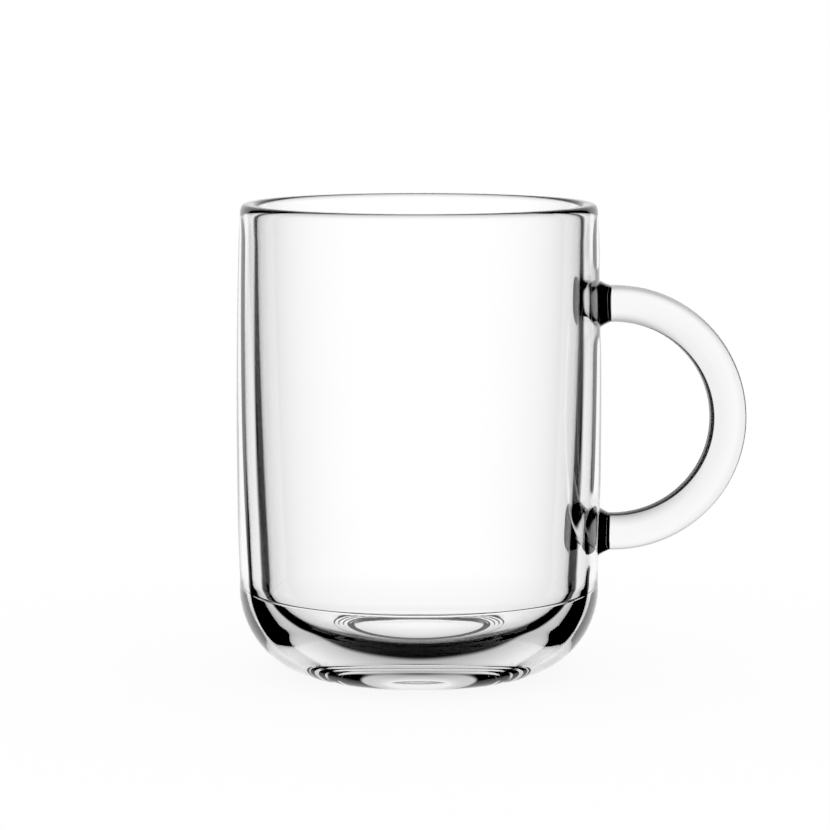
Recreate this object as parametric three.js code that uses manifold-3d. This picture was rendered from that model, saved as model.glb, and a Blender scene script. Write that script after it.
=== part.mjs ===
// Tea glass: a heavy pressed glass bowl with a half-ring handle welded to its side.
// Millimetres, +Z up. The glass stands on z = 0 and the handle points along +X.
import * as THREE from "three";
import { mergeVertices } from "three/addons/utils/BufferGeometryUtils.js";
import Module from "manifold-3d";

const wasm = await Module();
wasm.setup();

// Outside of the bowl: a barrel-shaped side that rolls under into a flat foot ring.
const rimHeight = 95;
const bellyRadius = 36.7;
const bellyHeight = 49;
const sideBowRadius = 1210;
const heelHeight = 17.4;
const heelSquareness = 2.06;
const footOuterRadius = 20;

// Underside: a shallow round recess inside the foot ring.
const puntRadius = 16.4;
const puntDepth = 2.4;
const puntSlope = 1.8;

// Thickness of the glass: thin at the rim, thick low down, with a deep round-bottomed inside.
const rimWall = 3.4;
const rimRound = 1.9;
const lowerWall = 5.9;
const floorThickness = 4.6;
const floorCornerHeight = 14.8;
const floorSquareness = 3;
const cornerSquareness = 2.15;

// Handle: a half ring with a rounded rectangular section.
const rimToRingCentre = 43.3;
const ringRadius = 23.1;
const handleThickness = 7.3;
const handleWidth = 8;
const handleEdgeRadius = 2.5;

// Weld collars: the flared glass that joins each end of the ring to the bowl. It flares up and down
// and spreads further to the sides.
const collarLength = 2.6;
const collarFlare = 1.4;
const collarSpread = 2.4;
const weldClearance = 0.3;

// Fineness of the facets.
const turnSteps = 64;
const sideSteps = 10;
const cornerSteps = 10;
const rimSteps = 8;
const ringSteps = 36;
const edgeSteps = 3;

const rimBase = rimHeight - rimRound;
const floorCornerTop = floorThickness + floorCornerHeight;
const ringCentreHeight = rimHeight - rimToRingCentre;
const ringCentreReach = bellyRadius + collarLength;
const handleReach = ringCentreReach + ringRadius + handleThickness / 2;

const glass = new THREE.MeshStandardMaterial({
  color: 0xf1f5f3,
  roughness: 0.04,
  metalness: 0,
});

// Radius of the barrel side at a height: a long arc whose widest point is the belly.
function sideRadius(z) {
  const rise = z - bellyHeight;
  return bellyRadius - (sideBowRadius - Math.sqrt(sideBowRadius ** 2 - rise ** 2));
}

// Glass thickness of the side at a height: it grows evenly from the rim to the floor corner.
function wallThickness(z) {
  const depth = (rimBase - z) / (rimBase - floorCornerTop);
  return rimWall + (lowerWall - rimWall) * depth;
}

function cavityRadius(z) {
  return sideRadius(z) - wallThickness(z);
}

// Even steps from one number to another, with both ends.
function steps(from, to, count) {
  const list = [];
  for (let i = 0; i <= count; i += 1) {
    list.push(from + ((to - from) * i) / count);
  }
  return list;
}

// Points of the outside from the foot ring up to the rim, moved out by a clearance.
function outsideProfile(clearance) {
  const points = [];
  const heelReach = sideRadius(heelHeight) - footOuterRadius;
  const power = 2 / heelSquareness;
  for (const turn of steps(Math.PI / 2, 0, cornerSteps)) {
    const out = Math.max(Math.cos(turn), 0) ** power;
    const up = 1 - Math.sin(turn) ** power;
    points.push(new THREE.Vector2(footOuterRadius + heelReach * out + clearance, heelHeight * up));
  }
  const heights = steps(heelHeight, bellyHeight, sideSteps / 2).slice(1);
  heights.push(...steps(bellyHeight, rimBase, sideSteps / 2).slice(1));
  for (const z of heights) {
    points.push(new THREE.Vector2(sideRadius(z) + clearance, z));
  }
  return points;
}

// Points of the recess under the glass, from the axis out to the foot ring.
function puntProfile() {
  return [
    new THREE.Vector2(0, puntDepth),
    new THREE.Vector2(puntRadius - puntSlope, puntDepth),
    new THREE.Vector2(puntRadius, 0),
  ];
}

// Points of the rounded rim, over the top from the outside to the inside.
function rimProfile() {
  const points = [];
  const middle = sideRadius(rimBase) - rimWall / 2;
  for (const turn of steps(0, Math.PI, rimSteps).slice(1)) {
    const radius = middle + (rimWall / 2) * Math.cos(turn);
    points.push(new THREE.Vector2(radius, rimBase + rimRound * Math.sin(turn)));
  }
  return points;
}

// Points of the inside, from below the rim down the wall and round the dished floor to the axis.
function cavityProfile() {
  const points = [];
  for (const z of steps(rimBase, floorCornerTop, sideSteps).slice(1)) {
    points.push(new THREE.Vector2(cavityRadius(z), z));
  }
  const cornerRadius = cavityRadius(floorCornerTop);
  for (const turn of steps(0, Math.PI / 2, cornerSteps).slice(1, -1)) {
    const out = Math.cos(turn) ** (2 / floorSquareness);
    const down = Math.sin(turn) ** (2 / cornerSquareness);
    points.push(new THREE.Vector2(cornerRadius * out, floorCornerTop - floorCornerHeight * down));
  }
  points.push(new THREE.Vector2(0, floorThickness));
  return points;
}

// A solid of revolution about the Z axis.
function turned(profile) {
  const geometry = new THREE.LatheGeometry(profile, turnSteps);
  geometry.rotateX(Math.PI / 2);
  return geometry;
}

// A rounded rectangle with its own width and height about the origin.
function roundedSection(across, along, radius) {
  const x = across / 2;
  const y = along / 2;
  const shape = new THREE.Shape();
  shape.moveTo(x, -y + radius);
  shape.lineTo(x, y - radius);
  shape.absarc(x - radius, y - radius, radius, 0, Math.PI / 2);
  shape.lineTo(-x + radius, y);
  shape.absarc(-x + radius, y - radius, radius, Math.PI / 2, Math.PI);
  shape.lineTo(-x, -y + radius);
  shape.absarc(-x + radius, -y + radius, radius, Math.PI, Math.PI * 1.5);
  shape.lineTo(x - radius, -y);
  shape.absarc(x - radius, -y + radius, radius, Math.PI * 1.5, Math.PI * 2);
  return shape;
}

// The centre line of the handle: a half circle in the XZ plane, from its upper to its lower end.
class HalfRing extends THREE.Curve {
  getPoint(t, target = new THREE.Vector3()) {
    const turn = Math.PI / 2 - Math.PI * t;
    return target.set(ringRadius * Math.cos(turn), 0, ringRadius * Math.sin(turn));
  }

  getTangent(t, target = new THREE.Vector3()) {
    const turn = Math.PI / 2 - Math.PI * t;
    return target.set(Math.sin(turn), 0, -Math.cos(turn));
  }
}

// A closed skin over matching loops of points, with a fan over the first and the last loop.
function skinned(loops) {
  const count = loops[0].length;
  const positions = loops.flat().flatMap((point) => point.toArray());
  const index = [];
  for (let k = 0; k + 1 < loops.length; k += 1) {
    for (let i = 0; i < count; i += 1) {
      const a = k * count + i;
      const b = k * count + ((i + 1) % count);
      index.push(a, b, b + count, a, b + count, a + count);
    }
  }
  const last = (loops.length - 1) * count;
  for (let i = 1; i + 1 < count; i += 1) {
    index.push(0, i + 1, i);
    index.push(last, last + i, last + i + 1);
  }
  const geometry = new THREE.BufferGeometry();
  geometry.setAttribute("position", new THREE.Float32BufferAttribute(positions, 3));
  geometry.setIndex(index);
  return geometry;
}

// Collar before it is fitted: the handle's section, which spreads out over the collar's length and
// then runs on into the bowl.
function collarBlank() {
  const loops = [];
  for (const [run, share] of [[0, 0], [collarLength, 1], [collarLength + bellyRadius / 2, 1]]) {
    const section = roundedSection(
      handleThickness + 2 * collarFlare * share,
      handleWidth + 2 * collarSpread * share,
      handleEdgeRadius + collarFlare * share,
    );
    const outline = section.getPoints(edgeSteps).slice(0, -1);
    loops.push(outline.map((p) => new THREE.Vector3(-run, p.y, p.x)));
  }
  return skinned(loops);
}

function toSolid(geometry) {
  const plain = geometry.clone();
  plain.deleteAttribute("normal");
  plain.deleteAttribute("uv");
  const merged = mergeVertices(plain);
  return new wasm.Manifold(new wasm.Mesh({
    numProp: 3,
    vertProperties: new Float32Array(merged.attributes.position.array),
    triVerts: new Uint32Array(merged.index.array),
  }));
}

function fromSolid(solid) {
  const mesh = solid.getMesh();
  const geometry = new THREE.BufferGeometry();
  geometry.setAttribute("position", new THREE.BufferAttribute(mesh.vertProperties, 3));
  geometry.setIndex(new THREE.BufferAttribute(mesh.triVerts, 1));
  geometry.computeVertexNormals();
  return geometry;
}

function named(name, geometry) {
  const mesh = new THREE.Mesh(geometry, glass);
  mesh.name = name;
  return mesh;
}

const teaGlass = new THREE.Group();

// The bowl is one turned solid: recess, foot ring, heel, side, rim, inside wall and floor.
const bowlProfile = [...puntProfile(), ...outsideProfile(0), ...rimProfile(), ...cavityProfile()];
teaGlass.add(named("bowl", turned(bowlProfile)));

// The handle's flat ends stand upright, one collar length away from the belly.
const handleSection = roundedSection(handleWidth, handleThickness, handleEdgeRadius);
const handle = named("handle", new THREE.ExtrudeGeometry(handleSection, {
  steps: ringSteps,
  curveSegments: edgeSteps,
  bevelEnabled: false,
  extrudePath: new HalfRing(),
}));
handle.position.set(ringCentreReach, 0, ringCentreHeight);
teaGlass.add(handle);

// Each collar meets the handle face to face and follows the bowl's outside at the weld clearance.
const outline = outsideProfile(weldClearance);
const seat = toSolid(turned([
  new THREE.Vector2(0, 0),
  ...outline,
  new THREE.Vector2(0, rimBase),
]));
for (const [name, side] of [["weld_collar_upper", 1], ["weld_collar_lower", -1]]) {
  const height = ringCentreHeight + side * ringRadius;
  const blank = collarBlank();
  blank.translate(ringCentreReach, 0, height);
  teaGlass.add(named(name, fromSolid(toSolid(blank).subtract(seat))));
}

// The origin is under the middle of the whole length, from the bowl's back to the handle's front.
teaGlass.position.x = (bellyRadius - handleReach) / 2;

export default teaGlass;
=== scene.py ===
"""Tea glass: a heavy pressed glass bowl with a half-ring handle welded to its side."""

import bpy
import numpy as np
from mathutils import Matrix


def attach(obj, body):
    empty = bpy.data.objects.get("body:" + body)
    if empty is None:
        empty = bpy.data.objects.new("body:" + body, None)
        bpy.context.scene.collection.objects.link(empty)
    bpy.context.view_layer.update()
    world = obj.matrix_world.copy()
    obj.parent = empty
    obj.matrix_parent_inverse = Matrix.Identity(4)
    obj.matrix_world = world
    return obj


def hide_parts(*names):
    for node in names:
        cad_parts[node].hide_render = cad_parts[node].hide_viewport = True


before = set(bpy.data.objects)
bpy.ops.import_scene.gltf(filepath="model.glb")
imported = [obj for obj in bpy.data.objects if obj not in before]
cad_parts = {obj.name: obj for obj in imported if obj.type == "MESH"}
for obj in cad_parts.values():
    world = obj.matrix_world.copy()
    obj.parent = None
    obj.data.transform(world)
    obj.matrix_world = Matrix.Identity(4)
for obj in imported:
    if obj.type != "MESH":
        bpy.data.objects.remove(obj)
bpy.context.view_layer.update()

# The bowl is one gob of clear soda-lime glass, pressed in a mould of two halves and fire-polished.
# Its side swells like a barrel, rolls under at the heel and stands on a ringed foot, and the wall
# thickens downwards into a dished floor. Two seats on its side take the ends of the handle.
mm = 0.001
rim_height = 95.0
belly_radius = 36.7
belly_height = 49.0
side_bow = 1210.0


def side_radius(height):
    """The barrel side is a long arc: the belly radius less the arc's fall, which is
    bow - sqrt(bow^2 - rise^2)."""
    rise = height - belly_height
    return belly_radius - (side_bow - np.sqrt(side_bow**2 - rise**2))


def ease(share):
    """A soft step: 0 below 0, 1 above 1, and 3 s^2 - 2 s^3 between."""
    share = np.clip(share, 0, 1)
    return share * share * (3 - 2 * share)


# Underside of the bowl: a shallow recess with a sloping edge, and fine rings on the foot round it.
punt_radius = 16.4
punt_slope = 2.2
punt_depth = 2.0
foot_radius = 20.0
foot_rings = 3
foot_ring_depth = 0.1
punt_rows = 8
slope_rows = 16
foot_ring_rows = 16


def underside():
    """From the axis out: the recess falls to the foot by half a cosine, and the foot has cosine
    rings."""
    flat_edge = punt_radius - punt_slope
    radius = np.concatenate([
        np.linspace(0, flat_edge, punt_rows + 1)[1:-1],
        np.linspace(flat_edge, punt_radius, slope_rows + 1)[:-1],
        np.linspace(punt_radius, foot_radius, foot_ring_rows * foot_rings + 1)[:-1],
    ])
    fall = np.clip((radius - flat_edge) / punt_slope, 0, 1)
    across = np.clip((radius - punt_radius) / (foot_radius - punt_radius), 0, 1)
    recess = punt_depth * (1 + np.cos(np.pi * fall)) / 2
    rings = foot_ring_depth * (1 - np.cos(2 * np.pi * foot_rings * across)) / 2
    return radius, recess + rings


# Heel, side and rim of the bowl, from the foot up. The handle's ring says where the welds are.
heel_height = 17.4
heel_squareness = 2.06
heel_rows = 44
rim_wall = 3.4
rim_round = 2.6
rim_squareness = 3.2
rim_rows = 40
rim_base = rim_height - rim_round
rim_to_ring = 43.3
ring_radius = 23.1
ring_height = rim_height - rim_to_ring
weld_heights = (ring_height + ring_radius, ring_height - ring_radius)
seat_half_height = 8.6
side_run_rows = (5, 24, 16, 24, 8)


def heel():
    """A superellipse quarter from the foot to the side: out by cos^(2/q), up by 1 - sin^(2/q)."""
    turn = np.linspace(np.pi / 2, 0, heel_rows + 1)[:-1]
    out = np.clip(np.cos(turn), 0, 1) ** (2 / heel_squareness)
    up = 1 - np.sin(turn) ** (2 / heel_squareness)
    return foot_radius + (side_radius(heel_height) - foot_radius) * out, heel_height * up


def side_heights():
    """Even rows up the side, in five runs, so that the two seats for the handle begin and end on
    a row."""
    low, high = weld_heights[1], weld_heights[0]
    ends = [heel_height, low - seat_half_height, low + seat_half_height,
            high - seat_half_height, high + seat_half_height, rim_base]
    runs = [np.linspace(a, b, n + 1)[:-1] for a, b, n in zip(ends, ends[1:], side_run_rows)]
    return np.concatenate(runs)


def rim():
    """Half a superellipse over the top of the wall, from the outside to the inside: across by
    |cos|^(2/q) with the sign of the cosine, up by sin^(2/q)."""
    turn = np.linspace(0, np.pi, rim_rows + 1)[:-1]
    middle = side_radius(rim_base) - rim_wall / 2
    across = np.sign(np.cos(turn)) * np.abs(np.cos(turn)) ** (2 / rim_squareness)
    up = np.sin(turn) ** (2 / rim_squareness)
    return middle + rim_wall / 2 * across, rim_base + rim_round * up


# Inside of the bowl: the wall, the dished floor, and a fine ring that the plunger left, whose place
# and width are turns round the floor's corner.
lower_wall = 5.9
floor_thickness = 4.6
floor_corner = 14.8
floor_squareness = 3.0
corner_squareness = 2.15
corner_top = floor_thickness + floor_corner
wall_rows = 30
corner_rows = 45
mark_turn = 0.15
mark_width = 0.008
mark_rise = 0.12
mark_reach = 3
mark_rows = 18


def wall_thickness(height):
    """The wall grows evenly from the rim down to the top of the floor's corner."""
    return rim_wall + (lower_wall - rim_wall) * (rim_base - height) / (rim_base - corner_top)


def inside():
    """Down the wall at its thickness, then round the floor to the axis: in by cos^(2/p) and down by
    sin^(2/q). Where the plunger's tip was joined to its stem it left a fine bell-shaped ring near
    the corner's top, given as a third list."""
    down = np.linspace(rim_base, corner_top, wall_rows + 1)[:-1]
    coarse = np.linspace(0, np.pi / 2, corner_rows + 1)[:-1]
    fine = mark_turn + mark_width * np.linspace(-mark_reach, mark_reach, mark_rows + 1)
    turn = np.concatenate([coarse[coarse < fine[0]], fine, coarse[coarse > fine[-1]]])
    bell = np.exp(-(((turn - mark_turn) / mark_width) ** 2))
    mark = np.append(np.zeros(len(down)), mark_rise * bell)
    corner = side_radius(corner_top) - wall_thickness(corner_top)
    radius = np.append(side_radius(down) - wall_thickness(down),
                       corner * np.cos(turn) ** (2 / floor_squareness))
    height = np.append(down, corner_top - floor_corner * np.sin(turn) ** (2 / corner_squareness))
    return radius, height, mark


# Mould seams of the bowl: a ridge on a broad swelling, with the heights over which they fade.
seam_rise = 0.14
seam_width = 2.2
seam_rim_fade = 4.0
seam_foot_fade = 6.0
seam_weld_gap = 6.5
seam_weld_fade = 3.0
swell_rise = 0.1
swell_width = 9.0
side_swell_growth = 0.2
side_swell_run = 30.0
heel_swell_growth = 0.2
heel_swell_start = 2.0
heel_swell_run = 4.0
heel_flat_start = 12.0
heel_flat_run = 16.0


def seam(turn, height):
    """How far the outer wall departs from its turned outline near the seams at turns 0 and pi.
    Between them it stands back by a flat. At a seam a broad bell brings it out again, and on it
    stands a narrow bell, the ridge, which stops at the welds. Bell and flat grow by soft steps
    from the belly down and again at the heel, and all of it is gone at the rim and the foot."""
    away = side_radius(height) * np.sin(turn)
    to_ends = ease((rim_base - height) / seam_rim_fade) * ease(height / seam_foot_fade)
    near_weld = np.minimum(np.abs(height - weld_heights[0]), np.abs(height - weld_heights[1]))
    to_weld = np.where(np.cos(turn) > 0, ease((near_weld - seam_weld_gap) / seam_weld_fade), 1)
    ridge = seam_rise * np.exp(-((away / seam_width) ** 2)) * to_weld
    side_swell = swell_rise + side_swell_growth * ease((belly_height - height) / side_swell_run)
    heel_flat = ease((heel_height + heel_flat_start - height) / heel_flat_run)
    heel_swell = ease((heel_height + heel_swell_start - height) / heel_swell_run)
    flat = side_swell + heel_swell_growth * heel_flat
    swell = side_swell + heel_swell_growth * heel_swell
    return to_ends * (ridge + swell * np.exp(-((away / swell_width) ** 2)) - flat)


# Seats of the bowl: they fit the handle's section, grown by the collar's flare and spread. The
# origin is under the middle of the whole length, so the handle's reach gives the bowl's axis.
wall_to_ring = 2.6
handle_thickness = 7.3
handle_width = 8.0
handle_inner_squareness = 2.6
handle_outer_squareness = 4.0
collar_flare = 1.1
collar_spread = 1.8
ring_reach = belly_radius + wall_to_ring
handle_reach = ring_reach + ring_radius + handle_thickness / 2
bowl_axis = (belly_radius - handle_reach) / 2


def wall_point(across, height):
    """The point of the outer wall at a distance across from the handle's plane, on the handle's
    side: turn = arcsin(across / radius), at the side's radius and its departure near the seam."""
    turn = np.arcsin(across / side_radius(height))
    radius = side_radius(height) + seam(turn, height)
    return np.stack([bowl_axis + radius * np.cos(turn), radius * np.sin(turn), height], axis=-1)


def weld_section(directions, grown, outward):
    """The handle's section as a superellipse, met by rays from its middle in given directions:
    reach = (|cos / half width|^q + |sin / half height|^q)^(-1/q), rounder in its half inside the
    ring. Grown from 0 to 1, it gets the collar's spread to the sides and its flare up and down."""
    c, s = np.cos(directions), np.sin(directions)
    half_wide = handle_width / 2 + collar_spread * grown
    half_high = handle_thickness / 2 + collar_flare * grown
    squareness = np.where(s * outward > 0, handle_outer_squareness, handle_inner_squareness)
    powers = np.abs(c / half_wide)**squareness + np.abs(s / half_high)**squareness
    reach = powers ** (-1 / squareness)
    return reach * c, reach * s


def band_faces(loops):
    """Quads between neighbouring closed loops, given as rows of vertex numbers."""
    here, there = loops[:-1], loops[1:]
    corners = [here, np.roll(here, -1, 1), np.roll(there, -1, 1), there]
    return np.stack(corners, axis=-1).reshape(-1, 4)


def fan_faces(loop, middle):
    """Triangles from each edge of a closed loop to one vertex in its middle."""
    return np.stack([loop, np.roll(loop, -1), np.full_like(loop, middle)], axis=-1)


crease_angle = np.radians(50)


def glass_piece(name, points, plain_faces, welded_faces, finish, weld_finish):
    """A closed mesh from millimetre points, with its faces inside a weld in a second finish."""
    mesh = bpy.data.meshes.new(name)
    faces = [f for part in plain_faces + welded_faces for f in part.tolist()]
    mesh.from_pydata((points * mm).tolist(), [], faces)
    plain_count = sum(len(part) for part in plain_faces)
    weld_index = (np.arange(len(faces)) >= plain_count).astype(np.int32)
    mesh.materials.append(finish)
    mesh.materials.append(weld_finish)
    mesh.polygons.foreach_set("material_index", weld_index)
    mesh.shade_smooth()
    mesh.set_sharp_from_angle(angle=crease_angle)
    mesh.update()
    piece = bpy.data.objects.new(name, mesh)
    bpy.context.scene.collection.objects.link(piece)
    return piece


glass_index = 1.52
mirror_level = 0.1
skin_swell_scale = 70
skin_swell_stretch = 0.4
skin_swell_height = 0.000006


def clear_glass(name, clearness, seed):
    """Clear pressed glass: its polished skin has a broad, very low swell left by the mould, drawn
    out upright and moved by the seed, so that no two pieces have the same."""
    material = bpy.data.materials.new(name)
    material.use_nodes = True
    nodes, links = material.node_tree.nodes, material.node_tree.links
    shader = nodes["Principled BSDF"]
    shader.inputs["Base Color"].default_value = (clearness, clearness, clearness, 1)
    shader.inputs["Roughness"].default_value = 0.0
    shader.inputs["IOR"].default_value = glass_index
    shader.inputs["Specular Tint"].default_value = (mirror_level, mirror_level, mirror_level, 1)
    shader.inputs["Transmission Weight"].default_value = 1.0
    place = nodes.new("ShaderNodeTexCoord")
    shift = nodes.new("ShaderNodeMapping")
    shift.inputs["Location"].default_value = (seed, -seed, seed / 2)
    shift.inputs["Scale"].default_value = (1, 1, skin_swell_stretch)
    swell = nodes.new("ShaderNodeTexNoise")
    swell.inputs["Scale"].default_value = skin_swell_scale
    swell.inputs["Detail"].default_value = 1
    bump = nodes.new("ShaderNodeBump")
    bump.inputs["Strength"].default_value = 1.0
    bump.inputs["Distance"].default_value = skin_swell_height
    links.new(place.outputs["Object"], shift.inputs["Vector"])
    links.new(shift.outputs["Vector"], swell.inputs["Vector"])
    links.new(swell.outputs["Fac"], bump.inputs["Height"])
    links.new(bump.outputs["Normal"], shader.inputs["Normal"])
    return material


def fused_glass(name):
    """Inside a weld there is no surface any more: the light goes straight on from glass to
    glass."""
    material = bpy.data.materials.new(name)
    material.use_nodes = True
    shader = material.node_tree.nodes["Principled BSDF"]
    shader.inputs["Alpha"].default_value = 0.0
    return material


# The turned grid of the bowl: rows along the outline, columns round the axis, closer together at
# the mould seams by step - crowding * sin(2 step).
column_count = 288
seam_crowding = 0.4
step = np.arange(column_count) * 2 * np.pi / column_count
turns = step - seam_crowding * np.sin(2 * step)
foot_r, foot_z = underside()
heel_r, heel_z = heel()
side_z = side_heights()
rim_r, rim_z = rim()
inside_r, inside_z, inside_mark = inside()
outline_r = np.concatenate([foot_r, heel_r, side_radius(side_z), rim_r, inside_r])
outline_z = np.concatenate([foot_z, heel_z, side_z, rim_z, inside_z])
row_count = len(outline_r)
outer_rows = np.arange(len(foot_r), len(foot_r) + len(heel_r) + len(side_z))
grid_r = np.repeat(outline_r[:, None], column_count, axis=1)
grid_r[outer_rows] += seam(turns[None, :], outline_z[outer_rows, None])
# The plunger stood a little askew, so its ring is full on the -Y side and fades out on the +Y side.
grid_r[-len(inside_mark):] -= inside_mark[:, None] * ease((1 - np.sin(turns)) / 2)
grid = np.stack([
    bowl_axis + grid_r * np.cos(turns),
    grid_r * np.sin(turns),
    np.broadcast_to(outline_z[:, None], grid_r.shape),
], axis=-1)
numbers = np.arange(row_count * column_count).reshape(row_count, column_count)
grid_faces = band_faces(numbers)
face_row = np.repeat(np.arange(row_count - 1), column_count)
face_turn = np.tile(turns + np.diff(np.append(turns, 2 * np.pi)) / 2, row_count - 1)
face_turn = np.where(face_turn > np.pi, face_turn - 2 * np.pi, face_turn)

# Each seat is a window cut out of the grid and filled with rings that run from its border to the
# weld's outline, and on to the weld's middle, where the glass is fused.
seat_half_turn = 0.26
seat_ring_count = 10
core_ring_count = 5
bowl_points = [grid.reshape(-1, 3),
               np.array([[bowl_axis, 0, punt_depth], [bowl_axis, 0, floor_thickness]])]
next_number = row_count * column_count + 2
bowl_faces = []
bowl_welds = []
seat_reach = np.sum((turns > 0) & (turns <= seat_half_turn))
seat_columns = np.arange(-seat_reach, seat_reach + 1)
in_seat = np.zeros(len(grid_faces), bool)
seat_rings = np.linspace(0, 1, seat_ring_count + 1)[1:]
core_rings = np.linspace(1, 0, core_ring_count + 2)[1:-1]
for weld_height, outward in zip(weld_heights, (1, -1)):
    outer_z = outline_z[outer_rows]
    low = outer_rows[np.argmin(np.abs(outer_z - (weld_height - seat_half_height)))]
    high = outer_rows[np.argmin(np.abs(outer_z - (weld_height + seat_half_height)))]
    rows = np.arange(low, high + 1)
    border_rows = np.concatenate([np.full(len(seat_columns) - 1, low), rows[:-1],
                                  np.full(len(seat_columns) - 1, high), rows[:0:-1]])
    border_columns = np.concatenate([seat_columns[:-1], np.full(len(rows) - 1, seat_columns[-1]),
                                     seat_columns[:0:-1], np.full(len(rows) - 1, seat_columns[0])])
    border = numbers[border_rows, border_columns]
    border_yz = grid[border_rows, border_columns][:, 1:]
    # Both seats have the same rows and columns, so collars and handle keep these directions.
    directions = np.arctan2(outline_z[border_rows] - weld_height,
                            belly_radius * np.sin(turns[border_columns]))
    weld_y, weld_z = weld_section(directions, 1, outward)
    weld_yz = np.stack([weld_y, weld_height + weld_z], axis=-1)
    middle_yz = np.array([0, weld_height])
    around = border_yz + (weld_yz - border_yz) * seat_rings[:, None, None]
    core = middle_yz + (weld_yz - middle_yz) * core_rings[:, None, None]
    ring_yz = np.concatenate([around, core])
    ring_points = wall_point(ring_yz[..., 0], ring_yz[..., 1]).reshape(-1, 3)
    middle_point = wall_point(np.zeros(1), np.full(1, weld_height))
    bowl_points += [ring_points, middle_point]
    ring_numbers = next_number + np.arange(len(ring_points)).reshape(len(ring_yz), -1)
    next_number += len(ring_points) + 1
    bowl_faces.append(band_faces(np.concatenate([border[None], ring_numbers[:seat_ring_count]])))
    bowl_welds.append(band_faces(ring_numbers[seat_ring_count - 1:]))
    bowl_welds.append(fan_faces(ring_numbers[-1], next_number - 1))
    in_seat |= ((face_row >= low) & (face_row < high)
                & (face_turn > turns[seat_columns[0]] - 2 * np.pi)
                & (face_turn < turns[seat_columns[-1]]))
foot_fan = fan_faces(numbers[0], row_count * column_count)[:, ::-1]
floor_fan = fan_faces(numbers[-1], row_count * column_count + 1)
bowl_faces = [grid_faces[~in_seat], foot_fan, floor_fan] + bowl_faces

# The points inside the two windows belong to no face any more, so the rest is numbered anew.
all_points = np.concatenate(bowl_points)
used = np.zeros(len(all_points), bool)
for part in bowl_faces + bowl_welds:
    used[part] = True
renumber = np.cumsum(used) - 1
bowl_faces = [renumber[part] for part in bowl_faces]
bowl_welds = [renumber[part] for part in bowl_welds]
bowl_clearness, bowl_seed = 1.0, 0.0
weld_core = fused_glass("weld_core")
bowl = glass_piece("pressed_bowl", all_points[used], bowl_faces, bowl_welds,
                   clear_glass("bowl_clear_glass", bowl_clearness, bowl_seed), weld_core)
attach(bowl, "root")
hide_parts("bowl")

# The weld collars are the clear glass that flowed out when the hot handle was pressed on to the
# bowl. Each one flares almost straight from the handle's end to the bowl's wall. It is fused to
# both, so nothing shows of the faces where they meet.
collar_length = 1.9
collar_arc_weight = 0.1
collar_row_count = 17
collar_clearness, collar_seed = 0.95, 3.1
handle_end = bowl_axis + belly_radius + collar_length


def wall_normal(points):
    """The outward direction of the outer wall: away from the axis, tipped by the slope of the
    side, which is -rise / sqrt(bow^2 - rise^2)."""
    turn = np.arctan2(points[..., 1], points[..., 0] - bowl_axis)
    rise = points[..., 2] - belly_height
    slope = -rise / np.sqrt(side_bow**2 - rise**2)
    normal = np.stack([np.cos(turn), np.sin(turn), -slope], axis=-1)
    return normal / np.linalg.norm(normal, axis=-1, keepdims=True)


def collar_rows(directions, weld_height, outward, count):
    """Rational quadratic arcs from the bowl's wall to the handle's end, one per direction. The
    middle control point is where the handle's line meets the plane that touches the wall, and its
    low weight keeps the arc near the straight line."""
    end_y, end_z = weld_section(directions, 0, outward)
    foot_y, foot_z = weld_section(directions, 1, outward)
    start = wall_point(foot_y, weld_height + foot_z)
    end = np.stack([np.full_like(end_y, handle_end), end_y, weld_height + end_z], axis=-1)
    normal = wall_normal(start)
    run = np.sum((end - start) * normal, axis=-1) / normal[:, 0]
    bend = end - run[:, None] * np.array([1, 0, 0])
    u = np.linspace(0, 1, count)[:, None, None]
    share = [(1 - u)**2, 2 * collar_arc_weight * u * (1 - u), u**2]
    weighted = share[0] * start + share[1] * bend + share[2] * end
    return weighted / (share[0] + share[1] + share[2])


for node, name, weld_height, outward in (
        ("weld_collar_upper", "upper_weld_fillet", weld_heights[0], 1),
        ("weld_collar_lower", "lower_weld_fillet", weld_heights[1], -1)):
    fillet = collar_rows(directions, weld_height, outward, collar_row_count)
    foot_yz = fillet[0][:, 1:]
    middle_yz = np.array([0, weld_height])
    core_yz = middle_yz + (foot_yz - middle_yz) * core_rings[:, None, None]
    core_points = wall_point(core_yz[..., 0], core_yz[..., 1])
    points = np.concatenate([
        wall_point(np.zeros(1), np.full(1, weld_height)),
        core_points[::-1].reshape(-1, 3),
        fillet.reshape(-1, 3),
        np.array([[handle_end, 0, weld_height]]),
    ])
    loops = 1 + np.arange(len(points) - 2).reshape(-1, len(directions))
    collar = glass_piece(
        name, points,
        [band_faces(loops[core_ring_count:])],
        [band_faces(loops[:core_ring_count + 1]), fan_faces(loops[0], 0)[:, ::-1],
         fan_faces(loops[-1], len(points) - 1)],
        clear_glass(name + "_glass", collar_clearness, collar_seed + outward), weld_core)
    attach(collar, "root")
    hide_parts(node)

# The handle is a bar of the same glass with a rounded rectangular section, pressed as a half ring.
# The mould's seam runs along the middle of its outer and inner faces. Its ends are melted into the
# collars.
ring_steps = 121
handle_seam_rise = 0.07
handle_seam_width = 0.35
handle_seam_fade = 0.25
handle_clearness, handle_seed = 0.93, 7.7


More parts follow.
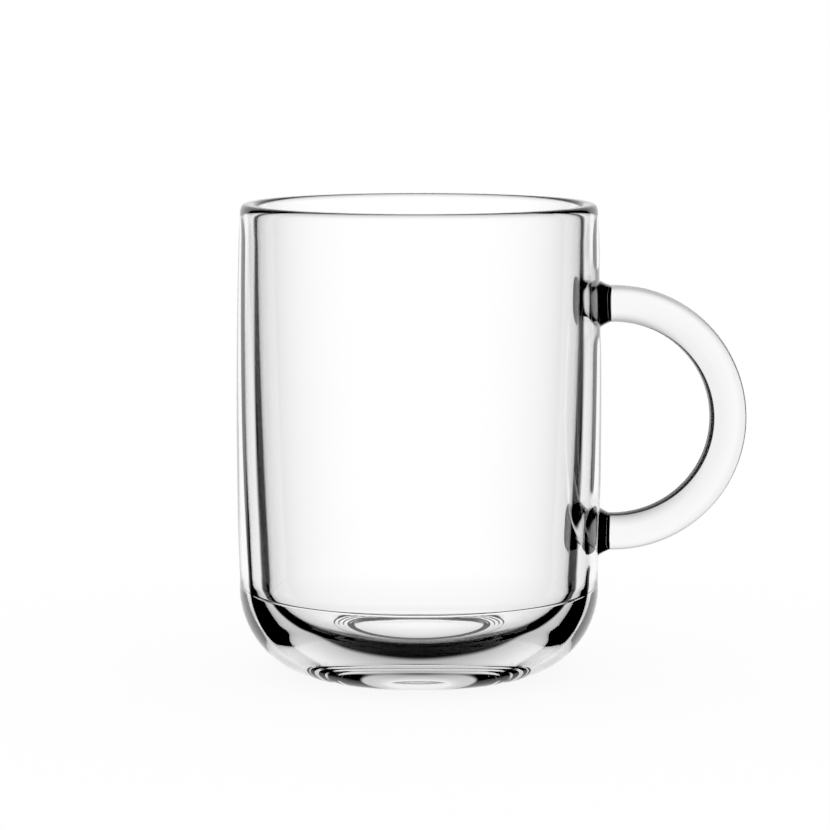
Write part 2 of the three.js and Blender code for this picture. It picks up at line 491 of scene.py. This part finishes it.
def half_ring(directions, count):
    """The section carried round half a circle in the XZ plane, from the upper end to the lower one,
    and straight on from there to the collars. The seam is a bell-shaped ridge across the section,
    which fades out towards both ends."""
    turn = np.linspace(np.pi / 2, -np.pi / 2, count)[:, None]
    across, out = weld_section(directions, 0, 1)
    ridge = handle_seam_rise * np.exp(-((across / handle_seam_width) ** 2)) * np.sign(out)
    radius = ring_radius + out + ridge * ease(np.cos(turn) / handle_seam_fade)
    ring = np.stack([
        bowl_axis + ring_reach + radius * np.cos(turn),
        np.broadcast_to(across, radius.shape),
        ring_height + radius * np.sin(turn),
    ], axis=-1)
    to_collar = np.array([handle_end - bowl_axis - ring_reach, 0, 0])
    return np.concatenate([ring[:1] + to_collar, ring, ring[-1:] + to_collar])


bar = half_ring(directions, ring_steps)
points = np.concatenate([
    np.array([[handle_end, 0, weld_heights[0]]]),
    bar.reshape(-1, 3),
    np.array([[handle_end, 0, weld_heights[1]]]),
])
loops = 1 + np.arange(len(points) - 2).reshape(-1, len(directions))
handle = glass_piece(
    "ring_handle", points,
    [band_faces(loops)],
    [fan_faces(loops[0], 0)[:, ::-1], fan_faces(loops[-1], len(points) - 1)],
    clear_glass("handle_clear_glass", handle_clearness, handle_seed), weld_core)
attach(handle, "root")
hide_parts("handle")

# The floor is a plain white sheet under the glass. Most of its brightness is its own, so the glass
# leaves only a faint shadow on it. The glass itself sees the lit screen and not the floor.
floor_half = 3.0
floor_grey = 0.9
floor_own_light = 0.92
floor_mesh = bpy.data.meshes.new("floor")
floor_corners = [(-floor_half, -floor_half, 0), (floor_half, -floor_half, 0),
                 (floor_half, floor_half, 0), (-floor_half, floor_half, 0)]
floor_mesh.from_pydata(floor_corners, [], [(0, 1, 2, 3)])
floor = bpy.data.objects.new("floor", floor_mesh)
bpy.context.scene.collection.objects.link(floor)
floor_white = bpy.data.materials.new("floor_white")
floor_white.use_nodes = True
nodes, links = floor_white.node_tree.nodes, floor_white.node_tree.links
nodes.clear()
paper = nodes.new("ShaderNodeBsdfDiffuse")
paper.inputs["Color"].default_value = (floor_grey, floor_grey, floor_grey, 1)
glow = nodes.new("ShaderNodeEmission")
glow.inputs["Strength"].default_value = 1.0
blend = nodes.new("ShaderNodeMixShader")
blend.inputs["Fac"].default_value = floor_own_light
surface = nodes.new("ShaderNodeOutputMaterial")
links.new(paper.outputs["BSDF"], blend.inputs[1])
links.new(glow.outputs["Emission"], blend.inputs[2])
links.new(blend.outputs["Shader"], surface.inputs["Surface"])
floor_white.cycles.emission_sampling = "NONE"
floor_mesh.materials.append(floor_white)
floor.visible_glossy = False
floor.visible_transmission = False

# The camera stands a little above the rim and looks slightly down on the glass through a long lens,
# as for a catalogue. Its place is in metres, apart from its small step to the left of the axis.
image_pixels = 830
focal_pixels = 3491.1
camera_left = 0.8
camera_back = 0.700
camera_height = 0.13838
camera_tilt = 7.02
camera_data = bpy.data.cameras.new("camera")
camera_data.sensor_width = 36
camera_data.lens = focal_pixels * camera_data.sensor_width / image_pixels
camera_data.clip_start = 0.01
camera_data.clip_end = 50
camera = bpy.data.objects.new("camera", camera_data)
bpy.context.scene.collection.objects.link(camera)
camera.location = ((bowl_axis - camera_left) * mm, -camera_back, camera_height)
camera.rotation_euler = (np.radians(90 - camera_tilt), 0, 0)
bpy.context.scene.camera = camera

# The lit screen stands behind the glass as the camera sees it: clear glass shows its form only by
# the dark room beyond the screen's edges. The camera carries it, so every view has it behind.
# It is part of a sphere round the glass, with a superellipse outline and soft edges.
screen_reach = 6.0
screen_centre = 0.045
screen_half_turn = np.radians(38.5)
screen_middle = np.radians(-5)
screen_half_fall, screen_half_climb = np.radians([53, 60])
screen_squareness = 3.0
screen_soft = 0.07
screen_level = 0.95
middle_gain, middle_turn = 0.08, np.radians(8)
table_front, table_fade = np.radians([-70, 55])
table_power = 0.6
top_dimming = 0.5
top_start, top_run = np.radians([5, 40])
screen_columns, screen_rows = 129, 257
climb = np.linspace(-screen_half_fall, screen_half_climb, screen_rows)
turn, rise = np.meshgrid(
    np.linspace(-1, 1, screen_columns) * screen_half_turn * (1 + screen_soft),
    screen_middle + climb * (1 + screen_soft))
half_rise = np.where(rise < screen_middle, screen_half_fall, screen_half_climb)
oval = (np.abs(turn / screen_half_turn)**screen_squareness
        + np.abs((rise - screen_middle) / half_rise)**screen_squareness) ** (1 / screen_squareness)
screen_glow = screen_level + middle_gain * np.exp(-((turn / middle_turn) ** 2))
screen_glow *= ease((1 + screen_soft - oval) / (2 * screen_soft))
screen_glow *= np.clip((rise - table_front) / table_fade, 0, 1) ** table_power
screen_glow *= 1 - top_dimming * ease((rise - top_start) / top_run)
screen_points = np.stack([
    bowl_axis * mm + screen_reach * np.cos(rise) * np.sin(turn),
    screen_reach * np.cos(rise) * np.cos(turn),
    screen_centre + screen_reach * np.sin(rise),
], axis=-1).reshape(-1, 3)
screen_numbers = np.arange(screen_rows * screen_columns).reshape(screen_rows, screen_columns)
screen_faces = np.stack([screen_numbers[:-1, :-1], screen_numbers[1:, :-1],
                         screen_numbers[1:, 1:], screen_numbers[:-1, 1:]], axis=-1).reshape(-1, 4)
screen_mesh = bpy.data.meshes.new("lit_screen")
screen_mesh.from_pydata(screen_points.tolist(), [], screen_faces.tolist())
glow_level = screen_mesh.attributes.new("glow", "FLOAT", "POINT")
glow_level.data.foreach_set("value", screen_glow.ravel().astype(np.float32))
screen = bpy.data.objects.new("lit_screen", screen_mesh)
bpy.context.scene.collection.objects.link(screen)
screen_white = bpy.data.materials.new("screen_white")
screen_white.use_nodes = True
nodes, links = screen_white.node_tree.nodes, screen_white.node_tree.links
nodes.clear()
glow = nodes.new("ShaderNodeEmission")
level = nodes.new("ShaderNodeAttribute")
level.attribute_name = "glow"
links.new(level.outputs["Fac"], glow.inputs["Strength"])
surface = nodes.new("ShaderNodeOutputMaterial")
links.new(glow.outputs["Emission"], surface.inputs["Surface"])
screen_white.cycles.emission_sampling = "NONE"
screen_mesh.materials.append(screen_white)
screen.visible_camera = False
screen.visible_diffuse = False
screen.visible_shadow = False
bpy.context.view_layer.update()
screen.parent = camera
screen.matrix_parent_inverse = camera.matrix_world.inverted()

# The studio round the glass is white where the camera looks past the floor and gives the floor its
# soft light. To the glass it is a dark room.
floor_light = 1.11
world = bpy.data.worlds.new("studio")
bpy.context.scene.world = world
world.use_nodes = True
nodes, links = world.node_tree.nodes, world.node_tree.links
light_path = nodes.new("ShaderNodeLightPath")
soft_light = nodes.new("ShaderNodeMath")
soft_light.operation = "MULTIPLY_ADD"
soft_light.inputs[1].default_value = floor_light
links.new(light_path.outputs["Is Diffuse Ray"], soft_light.inputs[0])
links.new(light_path.outputs["Is Camera Ray"], soft_light.inputs[2])
nodes["Background"].inputs["Color"].default_value = (1, 1, 1, 1)
links.new(soft_light.outputs["Value"], nodes["Background"].inputs["Strength"])

# Light crosses up to a dozen glass surfaces, so its paths are kept long. Light that is thrown to
# and fro inside the wall is left to die out, as it does on its long way through real glass.
scene = bpy.context.scene
scene.view_settings.view_transform = "Standard"
scene.cycles.max_bounces = 32
scene.cycles.glossy_bounces = 4
scene.cycles.transmission_bounces = 32
